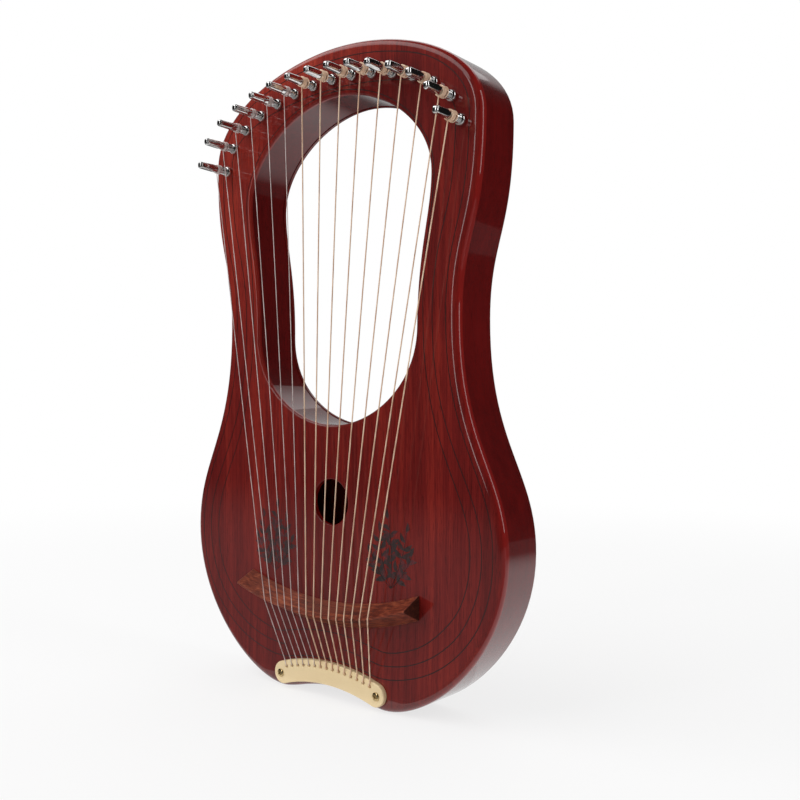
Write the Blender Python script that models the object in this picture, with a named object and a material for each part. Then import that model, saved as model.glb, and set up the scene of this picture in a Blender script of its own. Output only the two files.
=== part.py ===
# Lyre harp with fifteen strings, built piece by piece.
# The instrument stands on its two feet: +Z is up and the soundboard faces -Y.
# Lengths are in metres. Z is 0 at the feet, and Y is 0 halfway between pin tips and back.

import math

import bmesh
import bpy
from mathutils import Vector

# Body outline, given by its stations on the right half
BODY_HEIGHT = 0.400
BODY_DEPTH = 0.035
UPPER_BOUT_WIDTH = 0.218
UPPER_BOUT_DROP = 0.059
WAIST_WIDTH = 0.1874
WAIST_Z = 0.230
LOWER_BOUT_WIDTH = 0.250
LOWER_BOUT_Z = 0.097
FEET_SPACING = 0.084
HEEL_ARCH_RISE = 0.0065
OUTLINE_STEPS = 10

# Lengths of the outline's curve handles, as shares of the stretch that each one spans
ARCH_CROWN_PULL = 0.47
ARCH_SIDE_PULL = 0.38
ARM_TOP_PULL = 0.57
ARM_WAIST_PULL = 0.42
FLARE_WAIST_PULL = 0.56
FLARE_BOUT_PULL = 0.645
BOUT_FALL_PULL = 0.58
FOOT_OUTER_PULL = 0.36
FOOT_INNER_PULL = 0.25
HEEL_CROWN_PULL = 0.45

# Opening between the arms
YOKE_HEIGHT = 0.0315
OPENING_WIDTH = 0.149
OPENING_WIDEST_DROP = 0.088
OPENING_LOWER_WIDTH = 0.130
OPENING_LOWER_Z = 0.225
OPENING_BOTTOM_Z = 0.167
OPENING_STEPS = 8
OPENING_CROWN_PULL = 0.50
OPENING_SHOULDER_PULL = 0.48
OPENING_ARM_PULL = 0.28
OPENING_TAPER_PULL = 0.50
OPENING_FALL_PULL = 0.62
OPENING_FLOOR_PULL = 0.46

# Shell pieces
BOARD_THICKNESS = 0.003
BACK_THICKNESS = 0.003
RIM_WALL = 0.006
LINER_WALL = 0.004
FRONT_EDGE_RADIUS = 0.0045
BACK_EDGE_RADIUS = 0.0025
OPENING_EDGE_RADIUS = 0.0018
FRONT_EDGE_FIRST_STEP = 0.0009
FRONT_EDGE_SECOND_STEP = 0.0019
SEAT_GAP = 0.0003
SOUND_HOLE_DIAMETER = 0.028
SOUND_HOLE_Z = 0.120

# Tuning pins, set on an arc between the outline and the opening
STRING_COUNT = 15
PIN_ARC_HALF_WIDTH = 0.0957
PIN_ARC_TOP_DROP = 0.0213
PIN_ARC_RISE = 0.0422
PIN_ARC_SQUARENESS = 1.95
PIN_REACH = 0.025
PIN_DIAMETER = 0.005
PIN_HEAD_LENGTH = 0.011
PIN_HEAD_ACROSS = 0.0042
PIN_COLLAR_DIAMETER = 0.007
PIN_COLLAR_HEIGHT = 0.0024
PIN_SETTING_DEPTH = 0.020
PIN_POINT_LENGTH = 0.0010
PIN_SHOULDER_LENGTH = 0.0012
PIN_END_CHAMFER = 0.0010
PIN_RUNNING_GAP = 0.0002
PIN_SIDES = 12

# Strings and their windings
PLAIN_STRING_COUNT = 6
PLAIN_STRING_DIAMETER = 0.0005
WOUND_STRING_DIAMETER = 0.0008
STRING_SIDE_LEVEL = 1
STRING_HEIGHT_AT_PIN = 0.0080
STRING_GAP = 0.0003
WRAP_TURN_DEG = 150.0
PLATE_BEND_RADIUS = 0.0012
WINDING_TURNS = 3
WINDING_LOOP_POINTS = 10
WINDING_GAP = 0.00055
BALL_DIAMETER = 0.0030

# Bridge, a curved prism with its ridge outward
BRIDGE_LENGTH = 0.137
BRIDGE_HEIGHT = 0.0140
BRIDGE_BASE = 0.0142
BRIDGE_RIDGE_FLAT = 0.0008
BRIDGE_Z = 0.0525
BRIDGE_ARC_RISE = 0.0120
BRIDGE_STEPS = 20
BRIDGE_STRING_SPACING = 0.00607

# String plate, an arched metal strip along the heel arch
PLATE_LENGTH = 0.090
PLATE_BAND = 0.0140
PLATE_THICKNESS = 0.0026
PLATE_EDGE_CHAMFER = 0.0006
PLATE_MARGIN = 0.0022
PLATE_ARC_RADIUS = 0.125
PLATE_HOLE_DIAMETER = 0.0020
PLATE_HOLE_SPACING = 0.0049
PLATE_HOLE_INSET = 0.0037
PLATE_SCREW_INSET = 0.0057
SCREW_HEAD_DIAMETER = 0.0052
SCREW_HEAD_HEIGHT = 0.0010
SCREW_SHANK_DIAMETER = 0.0026
SCREW_LENGTH = 0.0140
POCKET_HEIGHT = 0.0052
POCKET_DEPTH = 0.0070
POCKET_END_GAP = 0.0005

# Hidden blocks and braces
PIN_BLOCK_DROP = 0.085
TAIL_BLOCK_WIDTH = 0.104
TAIL_BLOCK_TOP_Z = 0.036
BRACE_WIDTH = 0.007
BRACE_HEIGHT = 0.010
UPPER_BRACE_Z = 0.146
LOWER_BRACE_Z = 0.090
BACK_BRACE_Z = 0.078

# Places that follow from the sizes above
FRONT_Y = PIN_REACH - (BODY_DEPTH + PIN_REACH) / 2
BACK_Y = FRONT_Y + BODY_DEPTH
BOARD_BACK_Y = FRONT_Y + BOARD_THICKNESS
INNER_FRONT_Y = BOARD_BACK_Y + SEAT_GAP
INNER_BACK_Y = BACK_Y - BACK_THICKNESS - SEAT_GAP
PLATE_BACK_Y = FRONT_Y - SEAT_GAP
PLATE_FRONT_Y = PLATE_BACK_Y - PLATE_THICKNESS
PLATE_MID_Z = HEEL_ARCH_RISE + PLATE_MARGIN + PLATE_BAND / 2
BRIDGE_FOOT_Y = FRONT_Y - SEAT_GAP
RIDGE_Y = BRIDGE_FOOT_Y - BRIDGE_HEIGHT
UPPER_BOUT_Z = BODY_HEIGHT - UPPER_BOUT_DROP
OPENING_TOP_Z = BODY_HEIGHT - YOKE_HEIGHT
OPENING_WIDEST_Z = BODY_HEIGHT - OPENING_WIDEST_DROP
PIN_ARC_TOP_Z = BODY_HEIGHT - PIN_ARC_TOP_DROP
PIN_ARC_SIDE_Z = PIN_ARC_TOP_Z - PIN_ARC_RISE
PIN_BLOCK_BOTTOM_Z = BODY_HEIGHT - PIN_BLOCK_DROP

MAHOGANY = ((0.20, 0.018, 0.010), 0.16, 0.0)
INNER_WOOD = ((0.42, 0.25, 0.13), 0.6, 0.0)
BRIDGE_WOOD = ((0.40, 0.13, 0.045), 0.4, 0.0)
CHROME = ((0.75, 0.74, 0.73), 0.12, 1.0)
SATIN_BRASS = ((0.80, 0.68, 0.40), 0.35, 1.0)
PLAIN_STEEL = ((0.66, 0.62, 0.58), 0.25, 1.0)
BRONZE_WOUND = ((0.78, 0.55, 0.22), 0.3, 1.0)


def material_for(name, look):
    """One Principled material for one piece."""
    color, roughness, metallic = look
    material = bpy.data.materials.new(name)
    material.use_nodes = True
    shader = material.node_tree.nodes["Principled BSDF"]
    shader.inputs["Base Color"].default_value = (*color, 1.0)
    shader.inputs["Roughness"].default_value = roughness
    shader.inputs["Metallic"].default_value = metallic
    return material


def add_object(name, mesh, look, smooth_deg=None):
    """Link a mesh to the scene as one named piece."""
    if smooth_deg is not None:
        mesh.shade_smooth()
        mesh.set_sharp_from_angle(angle=math.radians(smooth_deg))
    piece = bpy.data.objects.new(name, mesh)
    mesh.materials.append(material_for(name, look))
    bpy.context.scene.collection.objects.link(piece)
    return piece


def mesh_from_bmesh(name, bm):
    bmesh.ops.recalc_face_normals(bm, faces=bm.faces)
    mesh = bpy.data.meshes.new(name)
    bm.to_mesh(mesh)
    bm.free()
    return mesh


def bezier(start, start_handle, end_handle, end, steps):
    """Points of one cubic piece, without its last point."""
    points = []
    for step in range(steps):
        t = step / steps
        u = 1 - t
        points.append(
            Vector(start) * u**3
            + Vector(start_handle) * 3 * u * u * t
            + Vector(end_handle) * 3 * u * t * t
            + Vector(end) * t**3
        )
    return points


def mirrored(right_half, last):
    """Close a right half, drawn from top to bottom, with its mirror image."""
    left_half = [Vector((-p.x, p.y)) for p in reversed(right_half[1:])]
    return right_half + [Vector(last)] + left_half


def body_outline():
    """Clockwise outline of the body, starting at the top of the arch."""
    upper = UPPER_BOUT_WIDTH / 2
    waist = WAIST_WIDTH / 2
    lower = LOWER_BOUT_WIDTH / 2
    foot = FEET_SPACING / 2
    upper_drop = UPPER_BOUT_Z - WAIST_Z
    waist_drop = WAIST_Z - LOWER_BOUT_Z
    stations = (
        ((0, BODY_HEIGHT), (ARCH_CROWN_PULL * upper, BODY_HEIGHT),
         (upper, BODY_HEIGHT - ARCH_SIDE_PULL * UPPER_BOUT_DROP), (upper, UPPER_BOUT_Z)),
        ((upper, UPPER_BOUT_Z), (upper, UPPER_BOUT_Z - ARM_TOP_PULL * upper_drop),
         (waist, WAIST_Z + ARM_WAIST_PULL * upper_drop), (waist, WAIST_Z)),
        ((waist, WAIST_Z), (waist, WAIST_Z - FLARE_WAIST_PULL * waist_drop),
         (lower, WAIST_Z - FLARE_BOUT_PULL * waist_drop), (lower, LOWER_BOUT_Z)),
        ((lower, LOWER_BOUT_Z), (lower, LOWER_BOUT_Z - BOUT_FALL_PULL * LOWER_BOUT_Z),
         (foot + FOOT_OUTER_PULL * (lower - foot), 0), (foot, 0)),
        ((foot, 0), (foot - FOOT_INNER_PULL * foot, 0),
         (HEEL_CROWN_PULL * foot, HEEL_ARCH_RISE), (0, HEEL_ARCH_RISE)),
    )
    half = []
    for station in stations:
        half += bezier(*station, OUTLINE_STEPS)
    return mirrored(half, (0, HEEL_ARCH_RISE))


def opening_outline():
    """Clockwise outline of the opening, starting at its top."""
    wide = OPENING_WIDTH / 2
    narrow = OPENING_LOWER_WIDTH / 2
    top_drop = OPENING_TOP_Z - OPENING_WIDEST_Z
    middle_drop = OPENING_WIDEST_Z - OPENING_LOWER_Z
    low_drop = OPENING_LOWER_Z - OPENING_BOTTOM_Z
    stations = (
        ((0, OPENING_TOP_Z), (OPENING_CROWN_PULL * wide, OPENING_TOP_Z),
         (wide, OPENING_TOP_Z - OPENING_SHOULDER_PULL * top_drop), (wide, OPENING_WIDEST_Z)),
        ((wide, OPENING_WIDEST_Z), (wide, OPENING_WIDEST_Z - OPENING_ARM_PULL * middle_drop),
         (narrow, OPENING_LOWER_Z + OPENING_TAPER_PULL * middle_drop), (narrow, OPENING_LOWER_Z)),
        ((narrow, OPENING_LOWER_Z), (narrow, OPENING_LOWER_Z - OPENING_FALL_PULL * low_drop),
         (OPENING_FLOOR_PULL * narrow, OPENING_BOTTOM_Z), (0, OPENING_BOTTOM_Z)),
    )
    half = []
    for station in stations:
        half += bezier(*station, OPENING_STEPS)
    return mirrored(half, (0, OPENING_BOTTOM_Z))


def shifted(outline, distance):
    """Move a clockwise outline outward by a distance, or inward if it is negative."""
    moved = []
    count = len(outline)
    for i, point in enumerate(outline):
        before = (point - outline[i - 1]).normalized()
        after = (outline[(i + 1) % count] - point).normalized()
        along = (before + after).normalized()
        normal = Vector((-along.y, along.x))
        stretch = 1 / max(0.5, normal.dot(Vector((-after.y, after.x))))
        moved.append(point + normal * distance * stretch)
    return moved


def round_over(depth, radius):
    """How far a rounded edge stands back at a depth below the face."""
    if depth >= radius:
        return 0.0
    return radius - math.sqrt(radius**2 - (radius - depth)**2)


def edge_inset(y):
    """How far the body's outer edge is rounded off at a place in its depth."""
    return round_over(y - FRONT_Y, FRONT_EDGE_RADIUS) + round_over(BACK_Y - y, BACK_EDGE_RADIUS)


def opening_inset(y):
    """How far the opening's edge is rounded off at a place in the depth."""
    return (round_over(y - FRONT_Y, OPENING_EDGE_RADIUS)
            + round_over(BACK_Y - y, OPENING_EDGE_RADIUS))


def add_loop(bm, points, y):
    return [bm.verts.new((p.x, y, p.y)) for p in points]


def add_walls(bm, loops):
    """Join neighbouring loops of equal length with quads."""
    for low, high in zip(loops, loops[1:]):
        count = len(low)
        for i in range(count):
            j = (i + 1) % count
            bm.faces.new((low[i], low[j], high[j], high[i]))


def cap_between(bm, outer, inner):
    """Fill the face between an outer loop and the loops inside it."""
    edges = []
    for loop in (outer, *inner):
        for i, vert in enumerate(loop):
            edge = bm.edges.get((vert, loop[(i + 1) % len(loop)]))
            edges.append(edge)
    bmesh.ops.triangle_fill(bm, use_beauty=True, edges=edges)


def ring_mesh(name, outer_levels, inner_levels):
    """A plate or ring from outer and inner loops, each given as (y, points)."""
    bm = bmesh.new()
    outer = [add_loop(bm, points, y) for y, points in outer_levels]
    inner = [add_loop(bm, points, y) for y, points in inner_levels]
    add_walls(bm, outer)
    add_walls(bm, inner)
    cap_between(bm, outer[0], [inner[0]])
    cap_between(bm, outer[-1], [inner[-1]])
    return mesh_from_bmesh(name, bm)


def prism_mesh(name, points, y_low, y_high):
    """A solid with one outline, extruded along Y."""
    bm = bmesh.new()
    low = add_loop(bm, points, y_low)
    high = add_loop(bm, points, y_high)
    add_walls(bm, [low, high])
    bm.faces.new(low)
    bm.faces.new(high)
    bmesh.ops.triangulate(bm, faces=bm.faces)
    return mesh_from_bmesh(name, bm)


def round_points(x, z, radius, sides, turn=0.0):
    """Clockwise circle in the XZ plane."""
    angles = [turn - 2 * math.pi * i / sides for i in range(sides)]
    return [Vector((x + radius * math.cos(a), z + radius * math.sin(a))) for a in angles]


def flats_radius(radius, sides):
    """Corner radius of a polygon whose flats stand at the given radius."""
    return radius / math.cos(math.pi / sides)


def cut_with(piece, cutters):
    """Take cutters, each given as (points, y_low, y_high), out of a piece."""
    bm = bmesh.new()
    for points, y_low, y_high in cutters:
        low = add_loop(bm, points, y_low)
        high = add_loop(bm, points, y_high)
        add_walls(bm, [low, high])
        bm.faces.new(low)
        bm.faces.new(high)
    cutter = bpy.data.objects.new(piece.name + "_cutter", mesh_from_bmesh(piece.name + "_cutter", bm))
    bpy.context.scene.collection.objects.link(cutter)
    cutter.hide_render = True
    cutter.display_type = "WIRE"
    boolean = piece.modifiers.new("holes", "BOOLEAN")
    boolean.operation = "DIFFERENCE"
    boolean.solver = "EXACT"
    boolean.object = cutter


def arc_drop(x, radius):
    """How far a circular arc falls from its crown at a distance sideways."""
    return radius - math.sqrt(radius**2 - x**2)


def plate_point(x, across):
    """A point on the string plate, `across` metres above its middle line."""
    radius = PLATE_ARC_RADIUS + across
    return Vector((x, PLATE_MID_Z + across - arc_drop(x, radius)))


def pin_place(index):
    """Centre of one tuning pin on its arc, spaced by equal steps along it."""
    samples = []
    fine = 400
    for i in range(fine + 1):
        turn = math.pi * (1 - i / fine)
        power = 2 / PIN_ARC_SQUARENESS
        x = math.copysign(abs(math.cos(turn))**power, math.cos(turn)) * PIN_ARC_HALF_WIDTH
        z = abs(math.sin(turn))**power * (PIN_ARC_TOP_Z - PIN_ARC_SIDE_Z) + PIN_ARC_SIDE_Z
        samples.append(Vector((x, z)))
    lengths = [0.0]
    for a, b in zip(samples, samples[1:]):
        lengths.append(lengths[-1] + (b - a).length)
    wanted = lengths[-1] * index / (STRING_COUNT - 1)
    for i in range(1, len(samples)):
        if lengths[i] >= wanted:
            share = (wanted - lengths[i - 1]) / (lengths[i] - lengths[i - 1])
            return samples[i - 1].lerp(samples[i], share)
    return samples[-1]


def string_diameter(index):
    return PLAIN_STRING_DIAMETER if index < PLAIN_STRING_COUNT else WOUND_STRING_DIAMETER


def plate_hole(index):
    x = (index - (STRING_COUNT - 1) / 2) * PLATE_HOLE_SPACING
    return plate_point(x, PLATE_BAND / 2 - PLATE_HOLE_INSET)


def bridge_line(x):
    """Height of the bridge's ridge above the feet at a distance from the centre."""
    half = BRIDGE_LENGTH / 2
    radius = (half**2 + BRIDGE_ARC_RISE**2) / (2 * BRIDGE_ARC_RISE)
    return BRIDGE_Z + arc_drop(x, radius)


def tube_object(name, points, radius, look, scales=None):
    """One unbroken tube along points in space, with filled ends."""
    curve = bpy.data.curves.new(name, "CURVE")
    curve.dimensions = "3D"
    curve.bevel_depth = radius
    curve.bevel_resolution = STRING_SIDE_LEVEL
    curve.use_fill_caps = True
    curve.twist_mode = "MINIMUM"
    spline = curve.splines.new("POLY")
    spline.points.add(len(points) - 1)
    for i, point in enumerate(points):
        spline.points[i].co = (*point, 1.0)
        spline.points[i].radius = 1.0 if scales is None else scales[i]
    curve.materials.append(material_for(name, look))
    piece = bpy.data.objects.new(name, curve)
    bpy.context.scene.collection.objects.link(piece)
    return piece


def build_soundboard(outline, opening):
    depths = (0.0, FRONT_EDGE_FIRST_STEP, FRONT_EDGE_SECOND_STEP, BOARD_THICKNESS)
    outer = [(FRONT_Y + d, shifted(outline, -edge_inset(FRONT_Y + d))) for d in depths]
    inner_depths = (0.0, OPENING_EDGE_RADIUS / 3, OPENING_EDGE_RADIUS, BOARD_THICKNESS)
    inner = [(FRONT_Y + d, shifted(opening, opening_inset(FRONT_Y + d))) for d in inner_depths]
    mesh = ring_mesh("soundboard", outer, inner)
    board = add_object("soundboard", mesh, MAHOGANY, 30)
    cutters = [
        (round_points(0, SOUND_HOLE_Z, SOUND_HOLE_DIAMETER / 2, 32),
         FRONT_Y - BOARD_THICKNESS, BOARD_BACK_Y + BOARD_THICKNESS),
        (pocket_points(), FRONT_Y - BOARD_THICKNESS, BOARD_BACK_Y + BOARD_THICKNESS),
    ]
    cutters += pin_hole_cutters()
    cutters += screw_hole_cutters()
    cut_with(board, cutters)


def pin_hole_cutters():
    cutters = []
    radius = flats_radius(PIN_DIAMETER / 2 + PIN_RUNNING_GAP, PIN_SIDES)
    for index in range(STRING_COUNT):
        place = pin_place(index)
        points = round_points(place.x, place.y, radius, PIN_SIDES, math.radians(15))
        end = FRONT_Y + PIN_SETTING_DEPTH + SEAT_GAP
        cutters.append((points, FRONT_Y - BOARD_THICKNESS, end))
    return cutters


def screw_places():
    x = PLATE_LENGTH / 2 - PLATE_SCREW_INSET
    return (("left", plate_point(-x, 0)), ("right", plate_point(x, 0)))


def screw_hole_cutters():
    cutters = []
    for _, place in screw_places():
        radius = flats_radius(SCREW_SHANK_DIAMETER / 2 + SEAT_GAP, 8)
        points = round_points(place.x, place.y, radius, 8)
        end = PLATE_FRONT_Y + SCREW_LENGTH + SEAT_GAP
        cutters.append((points, PLATE_FRONT_Y - PLATE_THICKNESS, end))
    return cutters


def pocket_points():
    """Outline of the slot behind the plate that holds the string ends."""
    reach = (STRING_COUNT - 1) / 2 * PLATE_HOLE_SPACING + BALL_DIAMETER / 2 + POCKET_END_GAP
    middle = PLATE_BAND / 2 - PLATE_HOLE_INSET
    steps = 12
    xs = [-reach + 2 * reach * i / steps for i in range(steps + 1)]
    upper = [plate_point(x, middle + POCKET_HEIGHT / 2) for x in xs]
    lower = [plate_point(x, middle - POCKET_HEIGHT / 2) for x in reversed(xs)]
    return upper + lower


def build_back_plate(outline, opening):
    start = BACK_Y - BACK_THICKNESS
    ys = (start, BACK_Y - BACK_EDGE_RADIUS, BACK_Y - BACK_EDGE_RADIUS * 0.4, BACK_Y)
    outer = [(y, shifted(outline, -edge_inset(y))) for y in ys]
    inner_ys = (start, BACK_Y - OPENING_EDGE_RADIUS, BACK_Y - OPENING_EDGE_RADIUS * 0.4, BACK_Y)
    inner = [(y, shifted(opening, opening_inset(y))) for y in inner_ys]
    add_object("back_plate", ring_mesh("back_plate", outer, inner), MAHOGANY, 30)


def build_rim(outline):
    middle = max(FRONT_Y + FRONT_EDGE_RADIUS, INNER_FRONT_Y + SEAT_GAP)
    ys = (INNER_FRONT_Y, middle, INNER_BACK_Y)
    outer = [(y, shifted(outline, -edge_inset(y))) for y in ys]
    inner = [(y, shifted(outline, -RIM_WALL)) for y in (INNER_FRONT_Y, INNER_BACK_Y)]
    add_object("rim", ring_mesh("rim", outer, inner), MAHOGANY, 30)


def build_opening_liner(opening):
    ys = (INNER_FRONT_Y, INNER_BACK_Y)
    outer = [(y, shifted(opening, LINER_WALL)) for y in ys]
    inner = [(y, opening) for y in ys]
    add_object("opening_liner", ring_mesh("opening_liner", outer, inner), MAHOGANY, 30)


def part_above(outline, z):
    """The stretch of a closed outline above a level, cut exactly on it, left end first."""
    top = max(range(len(outline)), key=lambda i: outline[i].y)
    ordered = outline[top:] + outline[:top]
    right = []
    left = []
    for a, b in zip(ordered, ordered[1:]):
        right.append(a)
        if b.y < z:
            right.append(a.lerp(b, (a.y - z) / (a.y - b.y)))
            break
    backwards = [ordered[0]] + ordered[:0:-1]
    for a, b in zip(backwards, backwards[1:]):
        if b.y < z:
            left.append(a.lerp(b, (a.y - z) / (a.y - b.y)))
            break
        left.append(b)
    return list(reversed(left)) + right


def build_pin_block(outline, opening):
    outer = part_above(shifted(outline, -(RIM_WALL + SEAT_GAP)), PIN_BLOCK_BOTTOM_Z)
    inner = part_above(shifted(opening, LINER_WALL + SEAT_GAP), PIN_BLOCK_BOTTOM_Z)
    points = outer + list(reversed(inner))
    mesh = prism_mesh("pin_block", points, INNER_FRONT_Y, INNER_BACK_Y)
    cut_with(add_object("pin_block", mesh, INNER_WOOD), pin_hole_cutters())


def build_tail_block(outline):
    inside = shifted(outline, -(RIM_WALL + SEAT_GAP))
    half = TAIL_BLOCK_WIDTH / 2
    low = [p for p in inside if abs(p.x) < half and p.y < TAIL_BLOCK_TOP_Z / 2]
    low.sort(key=lambda p: p.x)
    ends = [Vector((low[-1].x, TAIL_BLOCK_TOP_Z)), Vector((low[0].x, TAIL_BLOCK_TOP_Z))]
    points = list(reversed(low + ends))
    mesh = prism_mesh("tail_block", points, INNER_FRONT_Y, INNER_BACK_Y)
    block = add_object("tail_block", mesh, INNER_WOOD)
    cut_with(block, screw_hole_cutters() + [(pocket_points(), FRONT_Y, FRONT_Y + POCKET_DEPTH)])


def half_width_at(outline, z):
    """Half the width of a symmetric outline at a height."""
    for a, b in zip(outline, outline[1:]):
        if a.x >= 0 and (a.y - z) * (b.y - z) <= 0 and a.y != b.y:
            return a.lerp(b, (a.y - z) / (a.y - b.y)).x
    return 0.0


def build_braces(outline):
    inside = shifted(outline, -(RIM_WALL + SEAT_GAP))
    front = (INNER_FRONT_Y, INNER_FRONT_Y + BRACE_HEIGHT)
    back = (INNER_BACK_Y - BRACE_HEIGHT, INNER_BACK_Y)
    for name, z, (low, high) in (
        ("upper_brace", UPPER_BRACE_Z, front),
        ("lower_brace", LOWER_BRACE_Z, front),
        ("back_brace", BACK_BRACE_Z, back),
    ):
        reach_top = half_width_at(inside, z + BRACE_WIDTH / 2)
        reach_low = half_width_at(inside, z - BRACE_WIDTH / 2)
        half = min(reach_top, reach_low)
        points = [
            Vector((-half, z + BRACE_WIDTH / 2)),
            Vector((half, z + BRACE_WIDTH / 2)),
            Vector((half, z - BRACE_WIDTH / 2)),
            Vector((-half, z - BRACE_WIDTH / 2)),
        ]
        add_object(name, prism_mesh(name, points, low, high), INNER_WOOD)


def build_bridge():
    bm = bmesh.new()
    loops = []
    for i in range(BRIDGE_STEPS + 1):
        x = BRIDGE_LENGTH * (i / BRIDGE_STEPS - 0.5)
        z = bridge_line(x)
        section = (
            (BRIDGE_FOOT_Y, z - BRIDGE_BASE / 2),
            (BRIDGE_FOOT_Y, z + BRIDGE_BASE / 2),
            (RIDGE_Y, z + BRIDGE_RIDGE_FLAT / 2),
            (RIDGE_Y, z - BRIDGE_RIDGE_FLAT / 2),
        )
        loops.append([bm.verts.new((x, y, height)) for y, height in section])
    add_walls(bm, loops)
    bm.faces.new(loops[0])
    bm.faces.new(loops[-1])
    add_object("bridge", mesh_from_bmesh("bridge", bm), BRIDGE_WOOD, 30)


def plate_outline(inset):
    """Outline of the string plate with round ends, drawn in by an inset."""
    radius = PLATE_BAND / 2
    reach = PLATE_LENGTH / 2 - radius
    steps = 14
    end_steps = 8
    points = []
    for i in range(steps + 1):
        x = -reach + 2 * reach * i / steps
        points.append(plate_point(x, radius - inset))
    tilt = math.asin(reach / PLATE_ARC_RADIUS)
    centre = plate_point(reach, 0)
    for i in range(1, end_steps):
        turn = math.pi / 2 - tilt - math.pi * i / end_steps
        offset = Vector((math.cos(turn), math.sin(turn))) * (radius - inset)
        points.append(centre + offset)
    for i in range(steps + 1):
        x = reach - 2 * reach * i / steps
        points.append(plate_point(x, inset - radius))
    centre = plate_point(-reach, 0)
    for i in range(1, end_steps):
        turn = -math.pi / 2 + tilt - math.pi * i / end_steps
        offset = Vector((math.cos(turn), math.sin(turn))) * (radius - inset)
        points.append(centre + offset)
    return points


def build_string_plate():
    bm = bmesh.new()
    levels = (
        (PLATE_FRONT_Y, PLATE_EDGE_CHAMFER),
        (PLATE_FRONT_Y + PLATE_EDGE_CHAMFER, 0.0),
        (PLATE_BACK_Y, 0.0),
    )
    loops = [add_loop(bm, plate_outline(inset), y) for y, inset in levels]
    add_walls(bm, loops)
    bm.faces.new(loops[0])
    bm.faces.new(loops[-1])
    bmesh.ops.triangulate(bm, faces=[f for f in bm.faces if len(f.verts) > 4])
    plate = add_object("string_plate", mesh_from_bmesh("string_plate", bm), SATIN_BRASS, 30)
    cutters = []
    through = (PLATE_FRONT_Y - PLATE_THICKNESS, PLATE_BACK_Y + PLATE_THICKNESS)
    for index in range(STRING_COUNT):
        hole = plate_hole(index)
        radius = flats_radius(PLATE_HOLE_DIAMETER / 2, 8)
        cutters.append((round_points(hole.x, hole.y, radius, 8, math.radians(22.5)), *through))
    for _, place in screw_places():
        radius = flats_radius(SCREW_SHANK_DIAMETER / 2 + SEAT_GAP, 8)
        cutters.append((round_points(place.x, place.y, radius, 8), *through))
    cut_with(plate, cutters)


def turned_mesh(name, profile, sides, turn=0.0, square_from=None):
    """Solid turned about Y from (y, radius) pairs; pairs past square_from are square."""
    bm = bmesh.new()
    loops = []
    for i, (y, radius) in enumerate(profile):
        ring = []
        for side in range(sides):
            angle = turn + 2 * math.pi * side / sides
            reach = radius
            if square_from is not None and i >= square_from:
                reach = radius / max(abs(math.cos(angle)), abs(math.sin(angle)))
            ring.append(bm.verts.new((reach * math.cos(angle), y, reach * math.sin(angle))))
        loops.append(ring)
    add_walls(bm, loops)
    bm.faces.new(loops[0])
    bm.faces.new(loops[-1])
    return mesh_from_bmesh(name, bm)


def build_screws():
    for side, place in screw_places():
        name = "plate_screw_" + side
        head_back = -SEAT_GAP
        profile = (
            (SCREW_LENGTH, SCREW_SHANK_DIAMETER * 0.25),
            (SCREW_LENGTH - SCREW_SHANK_DIAMETER, SCREW_SHANK_DIAMETER / 2),
            (head_back, SCREW_SHANK_DIAMETER / 2),
            (head_back, SCREW_HEAD_DIAMETER / 2),
            (head_back - SCREW_HEAD_HEIGHT * 0.5, SCREW_HEAD_DIAMETER * 0.46),
            (head_back - SCREW_HEAD_HEIGHT, SCREW_HEAD_DIAMETER * 0.28),
        )
        screw = add_object(name, turned_mesh(name, profile, 12), SATIN_BRASS, 40)
        screw.location = (place.x, PLATE_FRONT_Y, place.y)


def build_pin(index, place):
    """One tuning pin, with its origin on its own axis at the board's face."""
    name = f"tuning_pin_{index + 1:02d}"
    shaft = PIN_DIAMETER / 2
    collar = PIN_COLLAR_DIAMETER / 2
    head = PIN_HEAD_ACROSS / 2
    profile = (
        (PIN_SETTING_DEPTH, shaft * 0.7),
        (PIN_SETTING_DEPTH - PIN_POINT_LENGTH, shaft),
        (-SEAT_GAP, shaft),
        (-SEAT_GAP, collar),
        (-SEAT_GAP - PIN_COLLAR_HEIGHT * 0.55, collar * 0.94),
        (-SEAT_GAP - PIN_COLLAR_HEIGHT, shaft),
        (PIN_HEAD_LENGTH - PIN_REACH, shaft),
        (PIN_HEAD_LENGTH - PIN_REACH - PIN_SHOULDER_LENGTH, head),
        (PIN_END_CHAMFER - PIN_REACH, head * 0.9),
        (-PIN_REACH, head * 0.7),
    )
    mesh = turned_mesh(name, profile, PIN_SIDES, math.radians(15), square_from=7)
    pin = add_object(name, mesh, CHROME, 35)
    pin.location = (place.x, FRONT_Y, place.y)
    return pin


def wrap_radius(diameter):
    """Distance from pin axis to string centre where the string lies on the pin."""
    return PIN_DIAMETER / 2 + STRING_GAP + diameter / 2


def build_winding(index, pin):
    """The turns of string on a pin, a helix that turns with the pin."""
    diameter = string_diameter(index)
    pitch = diameter + WINDING_GAP
    radius = (wrap_radius(diameter) - STRING_GAP / 2) / math.cos(math.pi / WINDING_LOOP_POINTS)
    start_y = -(STRING_HEIGHT_AT_PIN + pitch)
    points = []
    for i in range(WINDING_TURNS * WINDING_LOOP_POINTS + 1):
        turn = 2 * math.pi * i / WINDING_LOOP_POINTS
        y = start_y - pitch * i / WINDING_LOOP_POINTS
        points.append(Vector((radius * math.cos(turn), y, radius * math.sin(turn))))
    look = PLAIN_STEEL if index < PLAIN_STRING_COUNT else BRONZE_WOUND
    winding = tube_object(f"string_winding_{index + 1:02d}", points, diameter / 2, look)
    winding.location = pin.location
    return least_gap(points, diameter)


def segment_distance(a, b, c, d):
    """Least distance between two straight stretches, taken on sample points."""
    best = 1.0
    for i in range(9):
        p = a.lerp(b, i / 8)
        along = d - c
        share = max(0.0, min(1.0, (p - c).dot(along) / along.length_squared))
        best = min(best, (p - c.lerp(d, share)).length)
    return best


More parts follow.
